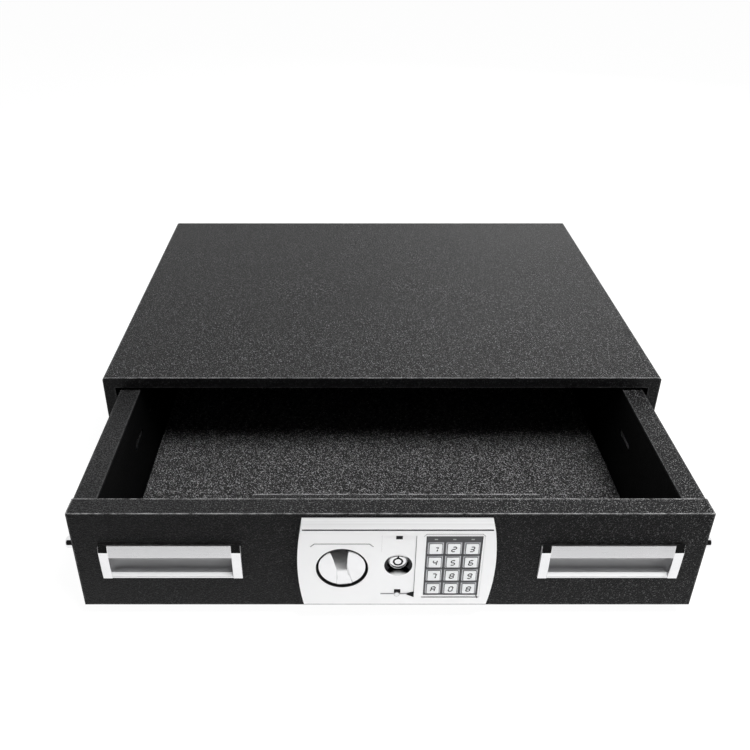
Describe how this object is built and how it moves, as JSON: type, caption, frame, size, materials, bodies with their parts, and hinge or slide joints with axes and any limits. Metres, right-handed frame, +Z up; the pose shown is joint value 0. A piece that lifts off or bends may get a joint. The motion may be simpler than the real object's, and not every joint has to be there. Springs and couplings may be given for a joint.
{
  "type": "under-bed safe",
  "caption": "Low steel under-bed safe: a drawer on ball slides with recessed handles, and a lock panel with knob, key lock and keypad that throws side bolts.",
  "frame": {"origin": "centre of the cabinet's underside", "axes": "+X towards the safe's right seen from the front, +Y from the drawer front towards the cabinet's back, +Z up"},
  "size_m": [0.634, 0.7158, 0.151],
  "materials": {
    "textured_paint": "textured powder coat",
    "zinc_steel": "zinc plated",
    "brass_strip": "satin",
    "black_plastic": "satin",
    "grey_carpet": "needle felt",
    "silver_frame": "satin silver",
    "brushed_grip": "brushed",
    "bright_chrome": "polished",
    "white_panel": "satin silver white",
    "key_plastic": "gloss",
    "clear_lens": "clear",
    "circuit_board": "solder mask",
    "white_bush": "natural nylon",
    "battery_can": "printed sleeve, no wording",
    "red_plastic": "gloss",
    "wire_rubber": "satin"
  },
  "bodies": {
    "cabinet": {"cabinet_shell": "textured_paint", "cabinet_back": "textured_paint", "slide_brackets": "textured_paint", "slide_outer_members": "zinc_steel", "cabinet_slide_screws": "zinc_steel"},
    "slide_middles": {"slide_middle_members": "zinc_steel"},
    "outer_balls": {"ball_retainers_outer": "brass_strip"},
    "inner_balls": {"ball_retainers_inner": "brass_strip"},
    "drawer": {"drawer_tray": "textured_paint", "drawer_front": "textured_paint", "front_closing_plate": "textured_paint", "lock_cover": "black_plastic", "lock_cover_screws": "zinc_steel", "carpet_mat": "grey_carpet", "slide_inner_members": "zinc_steel", "drawer_slide_screws": "zinc_steel", "handle_cup_left": "silver_frame", "handle_cup_right": "silver_frame", "handle_grip_left": "brushed_grip", "handle_grip_right": "brushed_grip", "handle_end_caps": "bright_chrome", "lock_panel": "white_panel", "keypad_plate": "black_plastic", "keypad_board": "circuit_board", "indicator_lenses": "clear_lens", "spindle_bush": "white_bush", "bolt_bushes": "white_bush", "bar_guides": "zinc_steel", "lock_barrel": "bright_chrome", "lock_nut": "zinc_steel", "solenoid_body": "black_plastic", "control_board": "circuit_board", "battery_holder": "black_plastic", "batteries": "battery_can", "wire_harness": "wire_rubber"},
    "knob": {"knob": "bright_chrome", "knob_spindle": "zinc_steel", "crank_disc": "zinc_steel"},
    "bolt_left": {"bolt_left": "bright_chrome", "drive_bar_left": "zinc_steel"},
    "bolt_right": {"bolt_right": "bright_chrome", "drive_bar_right": "zinc_steel"},
    "key_plug": {"key_plug": "bright_chrome", "lock_cam": "zinc_steel"},
    "plunger": {"solenoid_plunger": "zinc_steel", "plunger_spring": "zinc_steel"},
    "battery_door": {"battery_door": "black_plastic"},
    "reset_button": {"reset_button": "red_plastic"},
    "key_1": {"key_1": "key_plastic"},
    "key_2": {"key_2": "key_plastic"},
    "key_3": {"key_3": "key_plastic"},
    "key_4": {"key_4": "key_plastic"},
    "key_5": {"key_5": "key_plastic"},
    "key_6": {"key_6": "key_plastic"},
    "key_7": {"key_7": "key_plastic"},
    "key_8": {"key_8": "key_plastic"},
    "key_9": {"key_9": "key_plastic"},
    "key_a": {"key_a": "key_plastic"},
    "key_0": {"key_0": "key_plastic"},
    "key_b": {"key_b": "key_plastic"}
  },
  "joints": [
    {"name": "drawer_slide", "type": "slide", "parent": "cabinet", "child": "drawer", "axis": [0, -1, 0], "range_m": [-0.213, 0.207]},
    {"name": "middle_slide", "type": "slide", "parent": "cabinet", "child": "slide_middles", "axis": [0, -1, 0], "range_m": [-0.1065, 0.1035]},
    {"name": "outer_ball_roll", "type": "slide", "parent": "cabinet", "child": "outer_balls", "axis": [0, -1, 0], "range_m": [-0.05325, 0.05175]},
    {"name": "inner_ball_roll", "type": "slide", "parent": "cabinet", "child": "inner_balls", "axis": [0, -1, 0], "range_m": [-0.15975, 0.15525]},
    {"name": "knob_turn", "type": "hinge", "parent": "drawer", "child": "knob", "pos_m": [-0.0447, -0.458, 0.0753], "axis": [0, 1, 0], "range_deg": [0, 90]},
    {"name": "left_bolt_slide", "type": "slide", "parent": "drawer", "child": "bolt_left", "axis": [1, 0, 0], "range_m": [0, 0.01]},
    {"name": "right_bolt_slide", "type": "slide", "parent": "drawer", "child": "bolt_right", "axis": [-1, 0, 0], "range_m": [0, 0.01]},
    {"name": "key_turn", "type": "hinge", "parent": "drawer", "child": "key_plug", "pos_m": [0.0086, -0.458, 0.0789], "axis": [0, -1, 0], "range_deg": [0, 90]},
    {"name": "plunger_lift", "type": "slide", "parent": "drawer", "child": "plunger", "axis": [0, 0, 1], "range_m": [0, 0.004], "deforming": ["plunger_spring"]},
    {"name": "battery_door_hinge", "type": "hinge", "parent": "drawer", "child": "battery_door", "pos_m": [0.085, -0.4293, 0.047], "axis": [-1, 0, 0], "range_deg": [0, 90]},
    {"name": "reset_press", "type": "slide", "parent": "drawer", "child": "reset_button", "axis": [0, -1, 0], "range_m": [0, 0.0012], "stiffness_N_per_m": 400},
    {"name": "key_1_press", "type": "slide", "parent": "drawer", "child": "key_1", "axis": [0, 1, 0], "range_m": [0, 0.001], "stiffness_N_per_m": 400},
    {"name": "key_2_press", "type": "slide", "parent": "drawer", "child": "key_2", "axis": [0, 1, 0], "range_m": [0, 0.001], "stiffness_N_per_m": 400},
    {"name": "key_3_press", "type": "slide", "parent": "drawer", "child": "key_3", "axis": [0, 1, 0], "range_m": [0, 0.001], "stiffness_N_per_m": 400},
    {"name": "key_4_press", "type": "slide", "parent": "drawer", "child": "key_4", "axis": [0, 1, 0], "range_m": [0, 0.001], "stiffness_N_per_m": 400},
    {"name": "key_5_press", "type": "slide", "parent": "drawer", "child": "key_5", "axis": [0, 1, 0], "range_m": [0, 0.001], "stiffness_N_per_m": 400},
    {"name": "key_6_press", "type": "slide", "parent": "drawer", "child": "key_6", "axis": [0, 1, 0], "range_m": [0, 0.001], "stiffness_N_per_m": 400},
    {"name": "key_7_press", "type": "slide", "parent": "drawer", "child": "key_7", "axis": [0, 1, 0], "range_m": [0, 0.001], "stiffness_N_per_m": 400},
    {"name": "key_8_press", "type": "slide", "parent": "drawer", "child": "key_8", "axis": [0, 1, 0], "range_m": [0, 0.001], "stiffness_N_per_m": 400},
    {"name": "key_9_press", "type": "slide", "parent": "drawer", "child": "key_9", "axis": [0, 1, 0], "range_m": [0, 0.001], "stiffness_N_per_m": 400},
    {"name": "key_a_press", "type": "slide", "parent": "drawer", "child": "key_a", "axis": [0, 1, 0], "range_m": [0, 0.001], "stiffness_N_per_m": 400},
    {"name": "key_0_press", "type": "slide", "parent": "drawer", "child": "key_0", "axis": [0, 1, 0], "range_m": [0, 0.001], "stiffness_N_per_m": 400},
    {"name": "key_b_press", "type": "slide", "parent": "drawer", "child": "key_b", "axis": [0, 1, 0], "range_m": [0, 0.001], "stiffness_N_per_m": 400}
  ],
  "couplings": [
    {"joint": "middle_slide", "follows": "drawer_slide", "ratio": 0.5},
    {"joint": "outer_ball_roll", "follows": "drawer_slide", "ratio": 0.25},
    {"joint": "inner_ball_roll", "follows": "drawer_slide", "ratio": 0.75},
    {"joint": "left_bolt_slide", "follows": "knob_turn", "m_per_rad": 0.0063661},
    {"joint": "right_bolt_slide", "follows": "knob_turn", "m_per_rad": 0.0063661},
    {"joint": "key_turn", "follows": "plunger_lift", "rad_per_m": 392.69}
  ]
}
